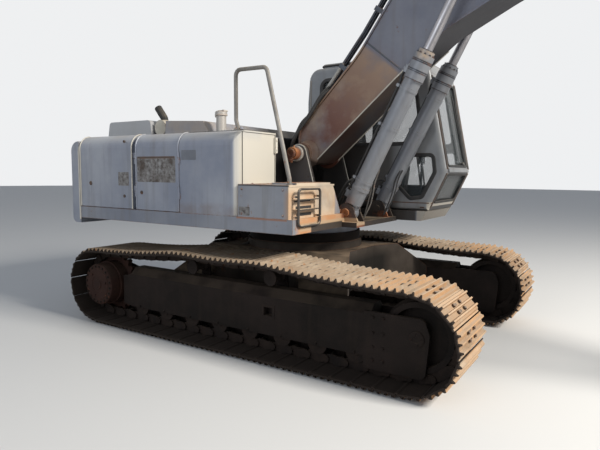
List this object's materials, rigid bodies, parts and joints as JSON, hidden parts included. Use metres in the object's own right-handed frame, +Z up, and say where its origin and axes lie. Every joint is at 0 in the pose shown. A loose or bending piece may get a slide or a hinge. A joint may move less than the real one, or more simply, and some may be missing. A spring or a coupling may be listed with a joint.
{
  "type": "crawler excavator",
  "caption": "Crawler excavator with a slewing house, cab, box boom, arm and digging bucket, on steel tracks.",
  "frame": {"origin": "on the ground, midway along the machine's length as parked and midway between its tracks", "axes": "+X forward, the way the boom points; +Y to the machine's left, the cab's side; +Z up"},
  "size_m": [8.5273, 3.09, 5.0593],
  "materials": {
    "grey_paint": "weathered silver-grey paint",
    "undercarriage_paint": "dark, dusty paint",
    "track_steel": "dusty steel",
    "bucket_steel": "worn steel",
    "dark_iron": "sooty iron",
    "bare_steel": "dull steel",
    "chromed_rod": "chromed",
    "window_glass": "clear",
    "seat_fabric": "woven",
    "dark_plastic": "matt"
  },
  "bodies": {
    "undercarriage": {"carbody": "undercarriage_paint", "slew_ring": "undercarriage_paint", "track_frame_right": "undercarriage_paint", "track_frame_left": "undercarriage_paint", "track_right": "track_steel", "track_left": "track_steel", "sprockets": "undercarriage_paint", "idlers": "undercarriage_paint", "bottom_rollers": "undercarriage_paint", "carrier_rollers": "undercarriage_paint"},
    "house": {"revolving_frame": "grey_paint", "counterweight": "grey_paint", "engine": "dark_iron", "hood": "grey_paint", "exhaust": "dark_iron", "tank": "grey_paint", "step_box": "grey_paint", "handrail": "bare_steel", "cab_floor": "dark_plastic", "cab_roof": "grey_paint", "cab_wall_right": "grey_paint", "cab_wall_rear": "grey_paint", "cab_front": "grey_paint", "cab_wall_left": "grey_paint", "cab_glass": "window_glass", "seat": "seat_fabric", "consoles": "dark_plastic"},
    "cab_door": {"cab_door": "grey_paint", "cab_door_glass": "window_glass"},
    "door_right_rear": {"door_right_rear": "grey_paint"},
    "door_right_front": {"door_right_front": "grey_paint"},
    "door_left": {"door_left": "grey_paint"},
    "hood_lid": {"hood_lid": "grey_paint"},
    "boom": {"boom": "grey_paint", "boom_pipes": "bare_steel"},
    "boom_tubes": {"boom_cylinder_tubes": "grey_paint"},
    "boom_rods": {"boom_cylinder_rods": "chromed_rod"},
    "arm": {"arm": "grey_paint"},
    "arm_tube": {"arm_cylinder_tube": "grey_paint"},
    "arm_rod": {"arm_cylinder_rod": "chromed_rod"},
    "bucket": {"bucket": "bucket_steel"},
    "bucket_tube": {"bucket_cylinder_tube": "grey_paint"},
    "bucket_rod": {"bucket_cylinder_rod": "chromed_rod"},
    "levers": {"tilt_levers": "grey_paint"},
    "link": {"connecting_link": "grey_paint"}
  },
  "joints": [
    {"name": "slew", "type": "hinge", "parent": "undercarriage", "child": "house", "pos_m": [-1.50326, 0, 1.08], "axis": [0, 0, 1], "continuous": true},
    {"name": "boom_lift", "type": "hinge", "parent": "house", "child": "boom", "pos_m": [-1.33826, 0, 1.926], "axis": [0, -1, 0], "range_deg": [-49, 47]},
    {"name": "boom_cylinder_swing", "type": "hinge", "parent": "house", "child": "boom_tubes", "pos_m": [-0.72926, 0, 1.323], "axis": [0, -1, 0], "range_deg": [-45.53, 43.71]},
    {"name": "boom_cylinder_stroke", "type": "slide", "parent": "boom_tubes", "child": "boom_rods", "axis": [0.4527, 0, 0.8917], "range_m": [-0.6599, 0.6333]},
    {"name": "arm_swing", "type": "hinge", "parent": "boom", "child": "arm", "pos_m": [3.74674, 0, 4.2], "axis": [0, 1, 0], "range_deg": [-85, 22]},
    {"name": "arm_cylinder_swing", "type": "hinge", "parent": "boom", "child": "arm_tube", "pos_m": [0.74674, 0, 4.176], "axis": [0, -1, 0], "range_deg": [-1.71, 1.18]},
    {"name": "arm_cylinder_stroke", "type": "slide", "parent": "arm_tube", "child": "arm_rod", "axis": [0.9731, 0, 0.2306], "range_m": [-1.0308, 0.2742]},
    {"name": "bucket_curl", "type": "hinge", "parent": "arm", "child": "bucket", "pos_m": [3.49399, 0, 1.31104], "axis": [0, 1, 0], "range_deg": [-65, 105]},
    {"name": "lever_swing", "type": "hinge", "parent": "arm", "child": "levers", "pos_m": [3.59472, 0, 1.77402], "axis": [0, 1, 0], "range_deg": [-45.85, 73.45]},
    {"name": "link_swing", "type": "hinge", "parent": "levers", "child": "link", "pos_m": [4.18526, 0, 1.66787], "axis": [0, 1, 0], "range_deg": [-51.4, 32.2]},
    {"name": "bucket_cylinder_swing", "type": "hinge", "parent": "arm", "child": "bucket_tube", "pos_m": [4.14634, 0, 3.83378], "axis": [0, 1, 0], "range_deg": [-5.22, 7.83]},
    {"name": "bucket_cylinder_stroke", "type": "slide", "parent": "bucket_tube", "child": "bucket_rod", "axis": [0.018, 0, -0.9998], "range_m": [-0.3957, 0.6331]},
    {"name": "cab_door_swing", "type": "hinge", "parent": "house", "child": "cab_door", "pos_m": [-1.20726, 1.43, 2.05], "axis": [0, 0, 1], "range_deg": [0, 110]},
    {"name": "door_right_rear_swing", "type": "hinge", "parent": "house", "child": "door_right_rear", "pos_m": [-2.77926, -1.4, 1.7], "axis": [0, 0, 1], "range_deg": [0, 90]},
    {"name": "door_right_front_swing", "type": "hinge", "parent": "house", "child": "door_right_front", "pos_m": [-2.09926, -1.434, 1.7], "axis": [0, 0, 1], "range_deg": [0, 90]},
    {"name": "door_left_swing", "type": "hinge", "parent": "house", "child": "door_left", "pos_m": [-2.77926, 1.4, 1.7], "axis": [0, 0, -1], "range_deg": [0, 90]},
    {"name": "hood_lid_swing", "type": "hinge", "parent": "house", "child": "hood_lid", "pos_m": [-3.67526, 0, 2.126], "axis": [0, -1, 0], "range_deg": [0, 70]}
  ],
  "couplings": [
    {"joint": "boom_cylinder_swing", "follows": "boom_lift", "ratio": 0.9087},
    {"joint": "boom_cylinder_stroke", "follows": "boom_lift", "m_per_rad": 0.7599},
    {"joint": "arm_cylinder_swing", "follows": "arm_swing", "ratio": 0.0083},
    {"joint": "arm_cylinder_stroke", "follows": "arm_swing", "m_per_rad": 0.6881},
    {"joint": "lever_swing", "follows": "bucket_curl", "ratio": 0.69},
    {"joint": "link_swing", "follows": "bucket_curl", "ratio": -0.48},
    {"joint": "bucket_cylinder_swing", "follows": "bucket_curl", "ratio": 0.065},
    {"joint": "bucket_cylinder_stroke", "follows": "bucket_curl", "m_per_rad": 0.34}
  ]
}
